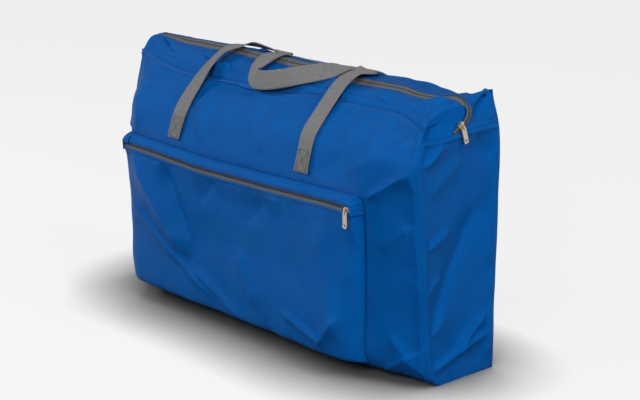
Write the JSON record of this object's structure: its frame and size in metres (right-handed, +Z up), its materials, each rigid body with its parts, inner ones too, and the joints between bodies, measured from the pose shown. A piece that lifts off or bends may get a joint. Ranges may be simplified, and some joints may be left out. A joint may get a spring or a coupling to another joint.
{
  "type": "massage table carry bag",
  "caption": "Zipped cloth carry bag for a folded massage table, with a folding zipped top, a zipped front pocket, metal pulls and webbing carry handles.",
  "frame": {"origin": "centre of the base panel's underside, midway between the end panels", "axes": "+X along the bag to the end where the main zip closes, -Y towards the pocket, +Z up"},
  "size_m": [0.9879, 0.3248, 0.5778],
  "materials": {
    "cloth_blue": "coarse plain-woven polyester with a slight sheen",
    "webbing_grey": "ribbed woven webbing with box-and-cross stitching",
    "zip_tape_grey": "woven zip tape",
    "zip_coil_grey": "moulded spiral coil",
    "binding_blue": "folded binding tape",
    "pull_metal": "worn nickel plate"
  },
  "bodies": {
    "bag": {"front_panel": "cloth_blue", "back_panel": "cloth_blue", "right_end_panel": "cloth_blue", "left_end_panel": "cloth_blue", "base_panel": "cloth_blue", "front_seam_binding": "binding_blue", "back_seam_binding": "binding_blue", "right_strip_end": "cloth_blue", "left_strip_end": "cloth_blue", "main_zip_right_drop_tapes": "zip_tape_grey", "main_zip_left_drop_tapes": "zip_tape_grey", "main_zip_right_drop_coils": "zip_coil_grey", "main_zip_left_drop_coils": "zip_coil_grey", "pocket_panel": "cloth_blue", "pocket_corners": "cloth_blue", "pocket_zip_lower_tape": "zip_tape_grey", "pocket_zip_lower_coil": "zip_coil_grey", "pocket_zip_end_tapes": "zip_tape_grey", "pocket_zip_end_coils": "zip_coil_grey", "front_handle_sewn_ends": "webbing_grey", "back_handle_sewn_ends": "webbing_grey"},
    "front_flap": {"front_top_strip": "cloth_blue", "main_zip_front_tape": "zip_tape_grey", "main_zip_front_coil": "zip_coil_grey"},
    "back_flap": {"back_top_strip": "cloth_blue", "main_zip_back_tape": "zip_tape_grey", "main_zip_back_coil": "zip_coil_grey"},
    "pocket_lid": {"pocket_lid_strip": "cloth_blue", "pocket_zip_upper_tape": "zip_tape_grey", "pocket_zip_upper_coil": "zip_coil_grey"},
    "main_slider": {"main_slider": "pull_metal"},
    "main_link": {"main_pull_link": "pull_metal"},
    "main_tab": {"main_pull_tab": "pull_metal"},
    "pocket_slider": {"pocket_slider": "pull_metal"},
    "pocket_link": {"pocket_pull_link": "pull_metal"},
    "pocket_tab": {"pocket_pull_tab": "pull_metal"},
    "front_handle": {"front_handle": "webbing_grey"},
    "back_handle": {"back_handle": "webbing_grey"}
  },
  "joints": [
    {"name": "front_flap_fold", "type": "hinge", "parent": "bag", "child": "front_flap", "pos_m": [0, -0.0757, 0.524], "axis": [-1, 0, 0], "range_deg": [0, 95]},
    {"name": "back_flap_fold", "type": "hinge", "parent": "bag", "child": "back_flap", "pos_m": [0, 0.0757, 0.542], "axis": [1, 0, 0], "range_deg": [0, 95]},
    {"name": "main_slider_run", "type": "slide", "parent": "bag", "child": "main_slider", "axis": [0, 0.5, 0.866], "range_m": [0, 0.038]},
    {"name": "main_link_swing", "type": "hinge", "parent": "main_slider", "child": "main_link", "pos_m": [0.4951, -0.03, 0.51166], "axis": [0, -0.9511, -0.309], "range_deg": [0, 90]},
    {"name": "main_tab_swing", "type": "hinge", "parent": "main_link", "child": "main_tab", "pos_m": [0.4951, -0.02833, 0.50652], "axis": [0, -0.9511, -0.309], "range_deg": [0, 75]},
    {"name": "pocket_lid_lift", "type": "hinge", "parent": "bag", "child": "pocket_lid", "pos_m": [0, -0.1673, 0.376], "axis": [-1, 0, 0], "range_deg": [0, 70]},
    {"name": "pocket_slider_run", "type": "slide", "parent": "bag", "child": "pocket_slider", "axis": [-1, 0, 0], "range_m": [0, 0.714]},
    {"name": "pocket_link_swing", "type": "hinge", "parent": "pocket_slider", "child": "pocket_link", "pos_m": [0.357, -0.2037, 0.3519], "axis": [-1, 0, 0], "range_deg": [0, 90]},
    {"name": "pocket_tab_swing", "type": "hinge", "parent": "pocket_link", "child": "pocket_tab", "pos_m": [0.357, -0.2037, 0.3465], "axis": [-1, 0, 0], "range_deg": [0, 75]},
    {"name": "front_handle_lift", "type": "hinge", "parent": "bag", "child": "front_handle", "pos_m": [0, -0.1662, 0.4403], "axis": [1, 0, 0], "range_deg": [0, 30]},
    {"name": "back_handle_lift", "type": "hinge", "parent": "bag", "child": "back_handle", "pos_m": [0, 0.1144, 0.4403], "axis": [1, 0, 0], "range_deg": [-30, 0]}
  ],
  "couplings": [
    {"joint": "back_handle_lift", "follows": "front_handle_lift", "ratio": -1}
  ]
}
